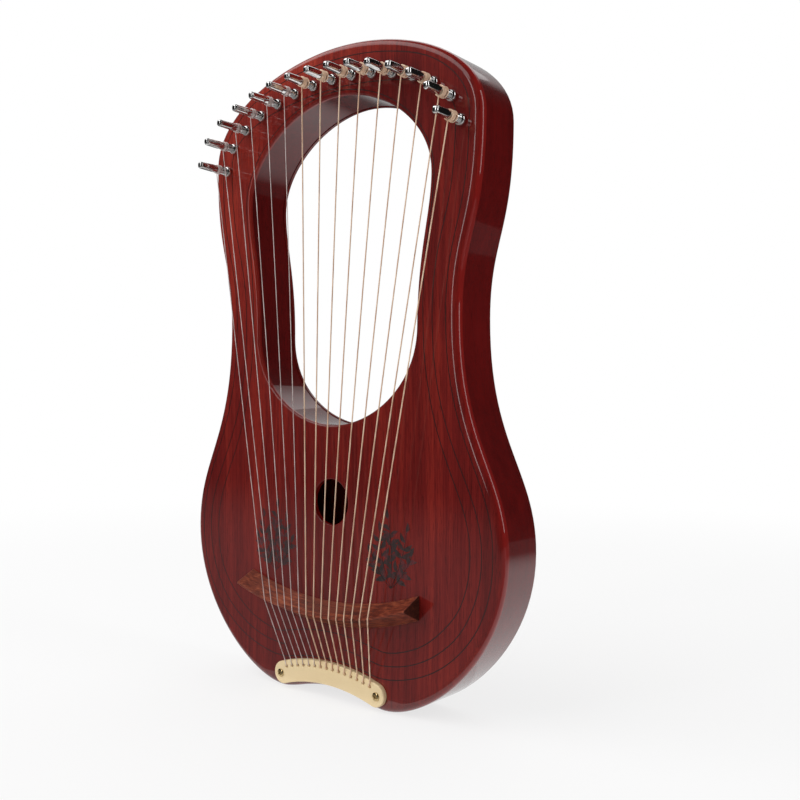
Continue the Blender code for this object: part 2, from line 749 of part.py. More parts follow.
def least_gap(points, diameter):
    """Least gap of a wound tube to its own other turns."""
    best = 1.0
    stretches = list(zip(points, points[1:]))
    for i, (a, b) in enumerate(stretches):
        for c, d in stretches[i + WINDING_LOOP_POINTS // 2:]:
            best = min(best, segment_distance(a, b, c, d))
    return best - diameter


def build_string(index, place):
    """One string from its turn round the pin, over bridge and plate, to its ball end."""
    diameter = string_diameter(index)
    half = diameter / 2
    around = wrap_radius(diameter)
    ridge_x = (index - (STRING_COUNT - 1) / 2) * BRIDGE_STRING_SPACING
    ridge = Vector((ridge_x, RIDGE_Y - half - STRING_GAP, bridge_line(ridge_x)))
    pin_y = FRONT_Y - STRING_HEIGHT_AT_PIN
    to_ridge = Vector((ridge.x - place.x, ridge.z - place.y))
    spread = math.acos(around / to_ridge.length)
    tangent = math.atan2(to_ridge.y, to_ridge.x) - spread
    points = []
    wrap_steps = 6
    for i in range(wrap_steps + 1):
        turn = tangent - math.radians(WRAP_TURN_DEG) * (1 - i / wrap_steps)
        points.append(Vector((place.x + around * math.cos(turn), pin_y,
                              place.y + around * math.sin(turn))))
    points.append(ridge)
    hole = plate_hole(index)
    above_plate = PLATE_FRONT_Y - half - STRING_GAP
    edge_x = hole.x + (ridge.x - hole.x) * 0.12
    edge_z = hole.y + PLATE_HOLE_INSET + half
    points.append(Vector((edge_x, above_plate, edge_z)))
    for i in range(4):
        turn = math.radians(90) * i / 3
        z = hole.y + PLATE_BEND_RADIUS * (1 - math.sin(turn))
        y = above_plate + PLATE_BEND_RADIUS * (1 - math.cos(turn))
        points.append(Vector((hole.x, y, z)))
    ball = BALL_DIAMETER / 2
    ball_y = PLATE_BACK_Y + SEAT_GAP + ball
    scales = [1.0] * len(points)
    for share in (-1.0, -0.8, 0.0, 0.8, 1.0):
        points.append(Vector((hole.x, ball_y + ball * share, hole.y)))
        width = ball * math.sqrt(max(0.0, 1 - share * share))
        scales.append(max(1.0, width / half))
    look = PLAIN_STEEL if index < PLAIN_STRING_COUNT else BRONZE_WOUND
    tube_object(f"string_{index + 1:02d}", points, half, look, scales)


def main():
    for old in list(bpy.data.objects):
        bpy.data.objects.remove(old, do_unlink=True)
    outline = body_outline()
    opening = opening_outline()
    build_soundboard(outline, opening)
    build_back_plate(outline, opening)
    build_rim(outline)
    build_opening_liner(opening)
    build_pin_block(outline, opening)
    build_tail_block(outline)
    build_braces(outline)
    build_bridge()
    build_string_plate()
    build_screws()
    gaps = []
    for index in range(STRING_COUNT):
        place = pin_place(index)
        pin = build_pin(index, place)
        gaps.append(build_winding(index, pin))
        build_string(index, place)
    print(f"least gap of a winding to itself: {min(gaps) * 1000:.3f} mm")


main()
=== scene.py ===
import math

import bmesh
import bpy
from mathutils import Matrix, Vector


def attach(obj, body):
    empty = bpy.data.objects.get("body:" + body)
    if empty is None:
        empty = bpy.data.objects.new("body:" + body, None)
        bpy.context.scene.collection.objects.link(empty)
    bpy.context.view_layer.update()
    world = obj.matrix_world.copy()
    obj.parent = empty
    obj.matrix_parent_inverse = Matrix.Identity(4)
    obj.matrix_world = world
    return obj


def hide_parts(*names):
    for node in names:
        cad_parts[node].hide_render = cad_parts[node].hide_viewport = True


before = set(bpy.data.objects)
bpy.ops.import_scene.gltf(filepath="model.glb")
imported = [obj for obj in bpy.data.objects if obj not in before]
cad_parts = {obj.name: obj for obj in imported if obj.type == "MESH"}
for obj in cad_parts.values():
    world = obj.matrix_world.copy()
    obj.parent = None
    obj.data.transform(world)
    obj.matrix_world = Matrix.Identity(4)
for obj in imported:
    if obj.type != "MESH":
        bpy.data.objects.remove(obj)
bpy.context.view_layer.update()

# Lengths are in millimetres up to toMesh(), which turns them into metres.
# X is across the lyre, Z is up, and the soundboard faces -Y.


# Shader helpers

class Signal:
    # wraps one value socket, so that sums and products of values become Math nodes
    def __init__(self, graph, socket):
        self.graph = graph
        self.socket = socket

    def maths(self, operation, other=None, swapped=False):
        values = [self] if other is None else ([other, self] if swapped else [self, other])
        return self.graph.add("ShaderNodeMath", {"operation": operation}, dict(enumerate(values)))[0]

    def __add__(self, other):
        return self.maths("ADD", other)

    def __radd__(self, other):
        return self.maths("ADD", other, True)

    def __sub__(self, other):
        return self.maths("SUBTRACT", other)

    def __rsub__(self, other):
        return self.maths("SUBTRACT", other, True)

    def __mul__(self, other):
        return self.maths("MULTIPLY", other)

    def __rmul__(self, other):
        return self.maths("MULTIPLY", other, True)


class Made:
    # a node whose outputs are read by name or number
    def __init__(self, graph, node):
        self.graph = graph
        self.node = node

    def __getitem__(self, key):
        return Signal(self.graph, self.node.outputs[key])


class Graph:
    def __init__(self, tree):
        self.tree = tree
        tree.nodes.clear()

    def add(self, kind, settings=None, sockets=None):
        node = self.tree.nodes.new(kind)
        for key, value in (settings or {}).items():
            if key == "stops":
                ramp = node.color_ramp
                while len(ramp.elements) < len(value):
                    ramp.elements.new(0.5)
                for element, (place, colour) in zip(ramp.elements, value):
                    element.position = place
                    element.color = (*colour, 1.0)
            else:
                setattr(node, key, value)
        for key, value in (sockets or {}).items():
            if isinstance(value, Signal):
                self.tree.links.new(value.socket, node.inputs[key])
            elif isinstance(value, tuple) and len(value) == 3 and node.inputs[key].type == "RGBA":
                node.inputs[key].default_value = (*value, 1.0)
            else:
                node.inputs[key].default_value = value
        return Made(self, node)

    def place(self):
        return self.add("ShaderNodeTexCoord")["Object"]

    def stretch(self, vector, factors):
        return self.add("ShaderNodeVectorMath", {"operation": "MULTIPLY"}, {0: vector, 1: factors})[0]

    def shove(self, vector, x, y, z):
        offset = self.add("ShaderNodeCombineXYZ", None, {0: x, 1: y, 2: z})[0]
        return self.add("ShaderNodeVectorMath", {"operation": "ADD"}, {0: vector, 1: offset})[0]

    def noise(self, vector, detail=2.0, rough=0.5, scale=1.0):
        sockets = {"Vector": vector, "Scale": scale, "Detail": detail, "Roughness": rough}
        return self.add("ShaderNodeTexNoise", None, sockets)["Fac"]

    def between(self, value, low, high, bottom=0.0, top=1.0):
        sockets = {"Value": value, "From Min": low, "From Max": high, "To Min": bottom, "To Max": top}
        return self.add("ShaderNodeMapRange", {"interpolation_type": "SMOOTHSTEP"}, sockets)[0]

    def ramp(self, value, stops):
        return self.add("ShaderNodeValToRGB", {"stops": stops}, {"Fac": value})["Color"]

    def mix(self, mask, first, second, way="MIX"):
        settings = {"data_type": "RGBA", "blend_type": way}
        return self.add("ShaderNodeMix", settings, {0: mask, 6: first, 7: second})[2]

    def bump(self, height, strength, distance):
        sockets = {"Height": height, "Strength": strength, "Distance": distance}
        return self.add("ShaderNodeBump", None, sockets)[0]


def newFinish(name):
    material = bpy.data.materials.new(name)
    material.use_nodes = True
    return material, Graph(material.node_tree)


def principled(graph, **sockets):
    names = {key.replace("_", " "): value for key, value in sockets.items()}
    shader = graph.add("ShaderNodeBsdfPrincipled", None, names)["BSDF"]
    graph.add("ShaderNodeOutputMaterial", None, {"Surface": shader})


# Finishes

mahogany = {
    "tones": [
        (0.00, (0.024, 0.0009, 0.0009)),
        (0.30, (0.066, 0.0029, 0.0026)),
        (0.54, (0.122, 0.0060, 0.0048)),
        (0.78, (0.215, 0.0150, 0.0085)),
        (1.00, (0.340, 0.0330, 0.0160)),
    ],
    "pore": (0.022, 0.0012, 0.0010),
    "poreDepth": 0.45,
    "coatRoughness": 0.045,
    "edgeRed": (0.240, 0.0060, 0.0040),
    # painted light: a lighter tone added at the crown and the upper left arm, standing in for light falling from
    # the upper left and above
    "thinDye": 0.26,
}
sideRed = {
    "tones": [
        (0.00, (0.034, 0.0006, 0.0007)),
        (0.40, (0.078, 0.0013, 0.0014)),
        (0.65, (0.125, 0.0022, 0.0021)),
        (1.00, (0.205, 0.0048, 0.0038)),
    ],
}


def lacqueredWood(name, tones, contrast=1.0, face=False):
    material, g = newFinish(name)
    p = g.place()
    drift = g.noise(g.stretch(p, (9.0, 9.0, 5.0)), 2.0)
    grain = g.shove(p, (drift - 0.5) * 0.016, 0.0, 0.0)
    fibre = g.noise(g.stretch(grain, (1900.0, 1300.0, 42.0)), 3.0, 0.62)
    streak = g.noise(g.stretch(grain, (300.0, 220.0, 4.6)), 4.0, 0.62)
    band = g.noise(g.stretch(grain, (40.0, 34.0, 4.0)), 3.0, 0.5)
    cloud = g.noise(g.stretch(p, (16.0, 16.0, 12.0)), 2.0, 0.5)
    tone = (streak - 0.5) * (0.62 * contrast) + (band - 0.5) * (0.46 * contrast) + (cloud - 0.5) * 0.34
    tone = tone + (fibre - 0.5) * 0.42 + 0.54
    if face:
        axes = g.add("ShaderNodeSeparateXYZ", None, {0: p})
        upper = g.between(axes[2], 0.13, 0.30)
        left = g.between(axes[0], -0.115, 0.02, 1.0, 0.0)
        crown = g.between(axes[2], 0.368, 0.397)
        # painted light: the crown and the upper left arm are lifted in tone
        tone = tone + (upper * left + crown) * mahogany["thinDye"]
    colour = g.ramp(tone, tones)
    pores = g.noise(g.stretch(grain, (2600.0, 2100.0, 150.0)), 1.0)
    pores = g.between(pores, 0.58, 0.70)
    colour = g.mix(pores * mahogany["poreDepth"], colour, mahogany["pore"])
    if face:
        turned = g.between(axes[1], -0.0047, -0.0026)
        colour = g.mix(turned * 0.62, colour, mahogany["edgeRed"])
    principled(
        g, Base_Color=colour, Roughness=g.between(fibre, 0.2, 0.8, 0.42, 0.56), Specular_IOR_Level=0.06,
        Coat_Weight=1.0, Coat_Roughness=mahogany["coatRoughness"], Coat_IOR=1.5,
        Normal=g.bump(fibre - pores * 0.6, 0.10, 0.00018),
    )
    return material


def bareWood(name, tones):
    material, g = newFinish(name)
    p = g.place()
    fibre = g.noise(g.stretch(p, (40.0, 900.0, 900.0)), 3.0, 0.6)
    ring = g.noise(g.stretch(p, (5.0, 130.0, 130.0)), 3.0, 0.55)
    colour = g.ramp((ring - 0.5) * 1.1 + (fibre - 0.5) * 0.7 + 0.5, tones)
    principled(g, Base_Color=colour, Roughness=g.between(fibre, 0.2, 0.8, 0.55, 0.75),
               Normal=g.bump(fibre, 0.2, 0.0002))
    return material


bridgeWood = {
    "tones": [
        (0.00, (0.038, 0.0055, 0.0030)),
        (0.30, (0.092, 0.0150, 0.0075)),
        (0.55, (0.165, 0.0300, 0.0140)),
        (0.80, (0.280, 0.0640, 0.0280)),
        (1.00, (0.400, 0.1100, 0.0480)),
    ],
    # painted shade for the bridge's two end faces
    "endGrain": (0.018, 0.0055, 0.0040),
}


def stripedWood(name):
    material, g = newFinish(name)
    p = g.place()
    drift = g.noise(g.stretch(p, (30.0, 30.0, 30.0)), 2.0)
    p = g.shove(p, 0.0, 0.0, (drift - 0.5) * 0.004)
    stripe = g.noise(g.stretch(p, (16.0, 520.0, 620.0)), 3.0, 0.6)
    fibre = g.noise(g.stretch(p, (120.0, 2600.0, 2600.0)), 2.0, 0.6)
    patch = g.noise(g.stretch(p, (45.0, 45.0, 45.0)), 2.0)
    tone = (stripe - 0.5) * 1.7 + (fibre - 0.5) * 0.6 + (patch - 0.5) * 0.5 + 0.54
    colour = g.ramp(tone, bridgeWood["tones"])
    # painted shade: the bridge's end faces are darkened, as if no lamp reached them
    x = g.add("ShaderNodeSeparateXYZ", None, {0: g.place()})[0].maths("ABSOLUTE")
    colour = g.mix(g.between(x, 0.0682, 0.06845, 0.0, 0.8), colour, bridgeWood["endGrain"])
    principled(g, Base_Color=colour,
               Roughness=g.between(fibre, 0.2, 0.8, 0.34, 0.52), Specular_IOR_Level=0.25,
               Normal=g.bump(fibre, 0.25, 0.0002))
    return material


def satinPlate(name):
    material, g = newFinish(name)
    p = g.place()
    brush = g.noise(g.stretch(p, (160.0, 3000.0, 5200.0)), 3.0, 0.6)
    cloud = g.noise(g.stretch(p, (60.0, 60.0, 60.0)), 3.0)
    tone = (brush - 0.5) * 0.5 + (cloud - 0.5) * 0.5 + 0.5
    colour = g.ramp(tone, [(0.0, (0.74, 0.55, 0.29)), (0.5, (0.86, 0.68, 0.40)), (1.0, (0.92, 0.76, 0.49))])
    principled(g, Base_Color=colour, Metallic=0.18, Roughness=g.between(brush, 0.2, 0.8, 0.34, 0.48),
               Normal=g.bump(brush, 0.1, 0.00008))
    return material


def nickelPlate(name, tint=(0.80, 0.79, 0.78)):
    material, g = newFinish(name)
    p = g.place()
    haze = g.noise(g.stretch(p, (700.0, 700.0, 700.0)), 3.0, 0.6)
    scratch = g.noise(g.stretch(p, (4200.0, 400.0, 4200.0)), 2.0, 0.6)
    dark = tuple(0.72 * c for c in tint)
    colour = g.mix(g.between(haze, 0.35, 0.75), tint, dark)
    principled(g, Base_Color=colour, Metallic=1.0, Roughness=g.between(haze, 0.3, 0.8, 0.07, 0.22),
               Normal=g.bump(scratch, 0.06, 0.00006))
    return material


wires = {
    # the plain steel wire's pink cast is a painted reflection of the red board; its grey is its own colour
    "plain": {"low": (0.56, 0.45, 0.43), "high": (0.86, 0.74, 0.71), "pitch": 0.0},
    "wound": {"low": (0.72, 0.44, 0.29), "high": (0.98, 0.74, 0.54), "pitch": 0.00032},
}


def stringWire(name, kind):
    look = wires[kind]
    material, g = newFinish(name)
    p = g.place()
    wear = g.noise(g.stretch(p, (900.0, 900.0, 60.0)), 2.0)
    colour = g.mix(g.between(wear, 0.3, 0.7), look["low"], look["high"])
    height = wear
    if look["pitch"]:
        z = g.add("ShaderNodeSeparateXYZ", None, {0: p})[2]
        height = (z * (2 * math.pi / look["pitch"])).maths("SINE") + wear
    principled(g, Base_Color=colour, Metallic=0.40, Roughness=g.between(wear, 0.2, 0.8, 0.26, 0.40),
               Normal=g.bump(height, 0.25, 0.00006))
    return material


def inkOnLacquer(name, tones, grain=420.0):
    material, g = newFinish(name)
    p = g.place()
    blot = g.noise(g.stretch(p, (grain, grain, grain)), 3.0, 0.6)
    fine = g.noise(g.stretch(p, (2400.0, 2400.0, 300.0)), 2.0)
    colour = g.ramp((blot - 0.5) * 1.5 + (fine - 0.5) * 0.4 + 0.5, tones)
    principled(
        g, Base_Color=colour, Roughness=g.between(fine, 0.2, 0.8, 0.35, 0.5), Specular_IOR_Level=0.22,
        Coat_Weight=1.0, Coat_Roughness=mahogany["coatRoughness"], Coat_IOR=1.5,
    )
    return material


redLacquer = lacqueredWood("redLacquer", mahogany["tones"], face=True)
sideLacquer = lacqueredWood("sideLacquer", sideRed["tones"], 0.7)
backLacquer = lacqueredWood("backLacquer", mahogany["tones"], 1.1)
blockWood = bareWood("blockWood", [
    (0.0, (0.10, 0.055, 0.030)), (0.5, (0.19, 0.11, 0.06)), (1.0, (0.28, 0.17, 0.10))])
stripedBridge = stripedWood("stripedBridge")
paleGold = satinPlate("paleGold")
nickel = nickelPlate("nickel")
screwBrass = nickelPlate("screwBrass", (0.62, 0.47, 0.24))
plainWire = stringWire("plainWire", "plain")
woundWire = stringWire("woundWire", "wound")
lineInk = inkOnLacquer("lineInk", [(0.0, (0.008, 0.0015, 0.0015)), (1.0, (0.026, 0.0035, 0.0030))])
leafInk = inkOnLacquer("leafInk", [
    (0.0, (0.010, 0.0060, 0.0060)), (0.42, (0.026, 0.0130, 0.0125)), (0.58, (0.055, 0.0110, 0.0130)),
    (0.72, (0.110, 0.0075, 0.0110)), (0.86, (0.034, 0.0190, 0.0170)), (1.0, (0.020, 0.0110, 0.0100)),
], 300.0)
print("finishes made:", len(bpy.data.materials))


# Mesh helpers

def toMesh(name, bm, finish, slot, bodyName="root", sharpDeg=32.0):
    bmesh.ops.recalc_face_normals(bm, faces=bm.faces)
    mesh = bpy.data.meshes.new(name)
    bm.to_mesh(mesh)
    bm.free()
    mesh.transform(Matrix.Scale(0.001, 4))
    mesh.shade_smooth()
    mesh.set_sharp_from_angle(angle=math.radians(sharpDeg))
    mesh.materials.append(finish)
    piece = bpy.data.objects.new(name, mesh)
    bpy.context.scene.collection.objects.link(piece)
    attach(piece, bodyName)
    return piece


def walls(bm, loops):
    for low, high in zip(loops, loops[1:]):
        for i in range(len(low)):
            j = (i + 1) % len(low)
            bm.faces.new((low[i], low[j], high[j], high[i]))


def addSlab(bm, outer, holes=()):
    # a flat solid: each rim is a list of (y, points) from one face to the other
    rims = []
    for levels in (outer, *holes):
        loops = [[bm.verts.new((p.x, y, p.y)) for p in points] for y, points in levels]
        walls(bm, loops)
        rims.append(loops)
    for end in (0, -1):
        edges = []
        for loops in rims:
            ring = loops[end]
            edges += [bm.edges.get((ring[i - 1], ring[i])) for i in range(len(ring))]
        bmesh.ops.triangle_fill(bm, use_beauty=True, edges=edges)


def addTube(bm, points, radii, sides=10):
    # one closed tube that follows points without twisting
    points = [Vector(p) for p in points]
    radii = radii if isinstance(radii, list) else [radii] * len(points)
    side = None
    loops = []
    for i, point in enumerate(points):
        along = (points[min(i + 1, len(points) - 1)] - points[max(i - 1, 0)]).normalized()
        if side is None:
            side = along.orthogonal().normalized()
        side = (side - along * side.dot(along)).normalized()
        other = along.cross(side)
        ring = []
        for k in range(sides):
            a = 2 * math.pi * k / sides
            ring.append(bm.verts.new(point + (side * math.cos(a) + other * math.sin(a)) * radii[i]))
        loops.append(ring)
    walls(bm, loops)
    bm.faces.new(loops[0])
    bm.faces.new(loops[-1])


def addTurned(bm, centre, profile, sides=36, turn=0.0):
    # turned about Y from (y, radius, power) rows: power 2 is round, 8 nearly square
    loops = []
    for y, radius, power in profile:
        ring = []
        for k in range(sides):
            a = turn + 2 * math.pi * k / sides
            reach = radius / (abs(math.cos(a - turn))**power + abs(math.sin(a - turn))**power)**(1 / power)
            ring.append(bm.verts.new((centre.x + reach * math.cos(a), y, centre.y + reach * math.sin(a))))
        loops.append(ring)
    walls(bm, loops)
    bm.faces.new(loops[0])
    bm.faces.new(loops[-1])


def circle(x, z, radius, sides):
    angles = [-2 * math.pi * i / sides for i in range(sides)]
    return [Vector((x + radius * math.cos(a), z + radius * math.sin(a))) for a in angles]


def bezier(a, b, c, d, steps):
    a, b, c, d = Vector(a), Vector(b), Vector(c), Vector(d)
    points = []
    for i in range(steps):
        t = i / steps
        u = 1 - t
        points.append(a * u**3 + b * (3 * u * u * t) + c * (3 * u * t * t) + d * t**3)
    return points


def shifted(outline, distance):
    # distance is a number, or one number for each point
    count = len(outline)
    each = distance if isinstance(distance, list) else [distance] * count
    moved = []
    for i, point in enumerate(outline):
        before = (point - outline[i - 1]).normalized()
        after = (outline[(i + 1) % count] - point).normalized()
        along = (before + after).normalized()
        normal = Vector((-along.y, along.x))
        moved.append(point + normal * (each[i] / max(0.5, normal.dot(Vector((-after.y, after.x))))))
    return moved


def roundEdge(radius, steps=7):
    # (depth, inset) pairs round a quarter circle, from the face to the side
    turns = [math.pi / 2 * i / steps for i in range(steps + 1)]
    return [(radius * (1 - math.cos(a)), radius * (1 - math.sin(a))) for a in turns]


# Outlines

lyre = {
    "height": 400.0, "frontY": -5.0, "backY": 30.0, "boardThickness": 3.0,
    "upperBout": 218.0, "upperZ": 341.0, "waist": 187.4, "waistZ": 230.0,
    "lowerBout": 250.0, "lowerZ": 97.0, "feet": 84.0, "heelRise": 6.5, "outlineSteps": 26,
    "openingTop": 368.5, "openingWidth": 149.0, "openingWideZ": 312.0,
    "openingLow": 130.0, "openingLowZ": 225.0, "openingFloor": 167.0, "openingSteps": 24,
    "frontEdge": 4.5, "backEdge": 2.5, "openingEdge": 1.8, "rimWall": 6.0, "linerWall": 4.0,
    "linerStep": 0.5, "soundHole": 28.0, "soundHoleZ": 120.0, "soundHoleEdge": 0.5,
    # the front board's lip round the side, and how far the flat face starts inside each rounded edge
    "lip": 0.6, "faceMargin": 0.7, "mouthMargin": 0.6, "holeMargin": 0.3,
    "screwHole": 3.2,
}
seatGap = 0.3  # between any piece and what carries it


def mirrored(half, last):
    return half + [Vector(last)] + [Vector((-p.x, p.y)) for p in reversed(half[1:])]


def bodyOutline():
    s = lyre
    u, w, l, f = s["upperBout"] / 2, s["waist"] / 2, s["lowerBout"] / 2, s["feet"] / 2
    top, uz, wz, lz, rise = s["height"], s["upperZ"], s["waistZ"], s["lowerZ"], s["heelRise"]
    stations = (
        ((0, top), (0.47 * u, top), (u, top - 0.38 * (top - uz)), (u, uz)),
        ((u, uz), (u, uz - 0.57 * (uz - wz)), (w, wz + 0.42 * (uz - wz)), (w, wz)),
        ((w, wz), (w, wz - 0.56 * (wz - lz)), (l, wz - 0.645 * (wz - lz)), (l, lz)),
        ((l, lz), (l, 0.42 * lz), (f + 0.36 * (l - f), 0), (f, 0)),
        ((f, 0), (0.75 * f, 0), (0.45 * f, rise), (0, rise)),
    )
    half = []
    for station in stations:
        half += bezier(*station, s["outlineSteps"])
    return mirrored(half, (0, rise))


def openingOutline():
    s = lyre
    a, b = s["openingWidth"] / 2, s["openingLow"] / 2
    top, wide, low, floor = s["openingTop"], s["openingWideZ"], s["openingLowZ"], s["openingFloor"]
    stations = (
        ((0, top), (0.50 * a, top), (a, top - 0.48 * (top - wide)), (a, wide)),
        ((a, wide), (a, wide - 0.28 * (wide - low)), (b, low + 0.50 * (wide - low)), (b, low)),
        ((b, low), (b, low - 0.62 * (low - floor)), (0.46 * b, floor), (0, floor)),
    )
    half = []
    for station in stations:
        half += bezier(*station, s["openingSteps"])
    return mirrored(half, (0, floor))


outline = bodyOutline()
opening = openingOutline()
frontY, backY = lyre["frontY"], lyre["backY"]
boardBackY = frontY + lyre["boardThickness"]


# Pins and strings: where they are

pins = {
    "count": 15, "halfWidth": 95.7, "topZ": 378.7, "sideZ": 336.5, "squareness": 1.95,
    "reach": 25.0, "shaft": 5.0, "headLength": 11.0, "headAcross": 4.2,
    "collar": 7.0, "collarHeight": 2.4, "setting": 20.0, "hole": 5.6,
    "grooves": 9, "grooveStep": 0.42,
}
strings = {
    "plainCount": 6, "plain": 0.5, "wound": 0.8, "heightAtPin": 8.0, "wrapTurnDeg": 330.0,
    "turns": 4, "ball": 3.0,
}
bridge = {
    "length": 137.0, "height": 14.0, "base": 14.2, "ridge": 0.8, "z": 52.5, "arcRise": 12.0,
    "stringSpacing": 6.07, "notch": 0.35, "edge": 0.35,
}
plate = {
    "length": 90.0, "band": 14.0, "thickness": 2.6, "edge": 0.8, "margin": 2.2, "arc": 125.0,
    "hole": 2.0, "spacing": 4.9, "holeInset": 3.7, "screwInset": 5.7, "sink": 0.35,
    "screwHead": 5.2, "screwHeight": 1.0, "screwShank": 2.6, "screwLength": 14.0,
    "pocketHeight": 5.2, "pocketEnd": 0.5,
}
plateBackY = frontY - seatGap
plateFrontY = plateBackY - plate["thickness"]
plateMidZ = lyre["heelRise"] + plate["margin"] + plate["band"] / 2
ridgeY = frontY - seatGap - bridge["height"]


def pinPlaces():
    fine = 400
    power = 2 / pins["squareness"]
    samples = []
    for i in range(fine + 1):
        a = math.pi * (1 - i / fine)
        x = math.copysign(abs(math.cos(a))**power, math.cos(a)) * pins["halfWidth"]
        z = abs(math.sin(a))**power * (pins["topZ"] - pins["sideZ"]) + pins["sideZ"]
        samples.append(Vector((x, z)))
    run = [0.0]
    for a, b in zip(samples, samples[1:]):
        run.append(run[-1] + (b - a).length)
    places = []
    for index in range(pins["count"]):
        wanted = run[-1] * index / (pins["count"] - 1)
        i = max(1, next(k for k in range(len(run)) if run[k] >= wanted - 1e-9))
        places.append(samples[i - 1].lerp(samples[i], (wanted - run[i - 1]) / (run[i] - run[i - 1])))
    return places


def arcDrop(x, radius):
    return radius - math.sqrt(radius**2 - x**2)


def platePoint(x, across):
    radius = plate["arc"] + across
    return Vector((x, plateMidZ + across - arcDrop(x, radius)))


def fromMiddle(index):
    return index - (pins["count"] - 1) / 2


def plateHole(index):
    return platePoint(fromMiddle(index) * plate["spacing"], plate["band"] / 2 - plate["holeInset"])


def screwSpots():
    x = plate["length"] / 2 - plate["screwInset"]
    return (("Left", platePoint(-x, 0)), ("Right", platePoint(x, 0)))


def ridgeZ(x):
    half = bridge["length"] / 2
    radius = (half**2 + bridge["arcRise"]**2) / (2 * bridge["arcRise"])
    return bridge["z"] + arcDrop(x, radius)


def wireSize(index):
    return strings["plain"] if index < strings["plainCount"] else strings["wound"]


places = pinPlaces()


# Body

def pocketLoop():
    reach = fromMiddle(pins["count"] - 1) * plate["spacing"] + strings["ball"] / 2 + plate["pocketEnd"]
    middle = plate["band"] / 2 - plate["holeInset"]
    xs = [-reach + 2 * reach * i / 16 for i in range(17)]
    upper = [platePoint(x, middle + plate["pocketHeight"] / 2) for x in xs]
    return upper + [platePoint(x, middle - plate["pocketHeight"] / 2) for x in reversed(xs)]


def straightHole(points, low, high):
    return [(low, points), (high, points)]


def faceHoles():
    # the opening's mouth, the sound hole, the slot behind the plate, and a hole for each pin and screw
    s = lyre
    small, hole = s["openingEdge"], s["soundHole"] / 2
    mouth = [(frontY, shifted(opening, small + s["mouthMargin"]))]
    mouth += [(frontY + depth, shifted(opening, inset)) for depth, inset in roundEdge(small, 6)]
    mouth += [(boardBackY - 0.25, opening), (boardBackY, shifted(opening, 0.25))]
    rows = [(0.0, s["soundHoleEdge"] + s["holeMargin"]), *roundEdge(s["soundHoleEdge"], 3)]
    soundHole = [(frontY + depth, circle(0, s["soundHoleZ"], hole + inset, 64)) for depth, inset in rows]
    soundHole.append((boardBackY, circle(0, s["soundHoleZ"], hole, 64)))
    holes = [mouth, soundHole, straightHole(pocketLoop(), frontY, boardBackY)]
    for place in places:
        holes.append(straightHole(circle(place.x, place.y, pins["hole"] / 2, 20), frontY, boardBackY))
    for _, place in screwSpots():
        holes.append(straightHole(circle(place.x, place.y, s["screwHole"] / 2, 12), frontY, boardBackY))
    return holes


def buildBody():
    s = lyre
    edge, wall, small = s["frontEdge"], s["rimWall"], s["openingEdge"]
    lipY = frontY + edge + s["lip"]
    seam = backY - s["boardThickness"]
    # the front board turns over its rounded edge and keeps a short lip round the side
    outer = [(frontY, shifted(outline, -(edge + s["faceMargin"])))]
    outer += [(frontY + depth, shifted(outline, -inset)) for depth, inset in roundEdge(edge, 9)]
    outer += [(lipY, outline), (lipY, shifted(outline, -wall)), (boardBackY, shifted(outline, -wall - 0.1))]
    bm = bmesh.new()
    addSlab(bm, outer, faceHoles())
    board = toMesh("frontBoard", bm, redLacquer, "mahogany")
    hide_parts("soundboard")

    bm = bmesh.new()
    inside = shifted(outline, -wall)
    addSlab(bm, [(lipY, outline), (seam, outline)], [[(lipY, inside), (seam, inside)]])
    side = toMesh("sideWall", bm, sideLacquer, "mahogany")
    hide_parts("rim")

    bm = bmesh.new()
    step, bevel = s["linerStep"], 0.2
    inner = [(boardBackY, shifted(opening, step + bevel)), (boardBackY + 0.3, shifted(opening, step)),
             (seam - 0.3, shifted(opening, step)), (seam, shifted(opening, step + bevel))]
    hidden = shifted(opening, s["linerWall"])
    addSlab(bm, [(boardBackY, hidden), (seam, hidden)], [inner])
    liner = toMesh("openingWall", bm, sideLacquer, "mahogany")
    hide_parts("opening_liner")

    bm = bmesh.new()
    outer = [(seam, inside), (seam, outline)]
    rows = [*reversed(roundEdge(s["backEdge"], 7)), (0.0, s["backEdge"] + s["mouthMargin"])]
    outer += [(backY - depth, shifted(outline, -inset)) for depth, inset in rows]
    rows = [*reversed(roundEdge(small, 6)), (0.0, small + s["mouthMargin"])]
    mouth = [(seam, opening)]
    mouth += [(backY - depth, shifted(opening, inset)) for depth, inset in rows]
    addSlab(bm, outer, [mouth])
    back = toMesh("backBoard", bm, backLacquer, "mahogany")
    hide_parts("back_plate")


buildBody()
for node in ("pin_block", "tail_block", "upper_brace", "lower_brace", "back_brace"):
    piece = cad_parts[node]
    piece.data.materials.clear()
    piece.data.materials.append(blockWood)
print("body built")


# Engraved lines and leaf sprigs on the face

lines = {
    "width": 0.55, "proud": 0.03, "sunk": 0.2,
    # (station, inset): the stations are 0 crown, 1 upper bout, 2 waist, 3 lower bout, 4 foot, 5 heel
    "outer": ((0, 9.0), (0.3, 8.0), (0.5, 6.8), (0.75, 7.3), (1, 8.0), (2, 7.9), (2.5, 6.9), (3, 7.2),
              (3.25, 7.2), (3.4, 9.0), (3.55, 12.0), (3.75, 17.0), (3.88, 19.0), (4, 19.6), (5, 17.6)),
    "middle": ((0, 26.8), (0.25, 25.4), (0.5, 21.6), (0.75, 18.4), (1, 17.2), (2, 17.2), (2.5, 15.4),
               (3, 14.4), (3.3, 15.0), (3.42, 16.8), (3.55, 19.8), (3.74, 24.5), (3.87, 26.8), (4, 27.2),
               (5, 25.5)),
    "inner": ((1.5, 23.4), (2.15, 23.1), (2.5, 22.6), (3, 22.0), (3.25, 22.3), (3.4, 25.0), (3.55, 28.0),
              (3.7, 31.8), (3.85, 34.4), (4, 35.3), (5, 34.1)),
    # over the top the inner line keeps this far from the opening
    "fromOpening": 2.9,
}


def smooth(value):
    t = max(0.0, min(1.0, value))
    return t * t * (3 - 2 * t)


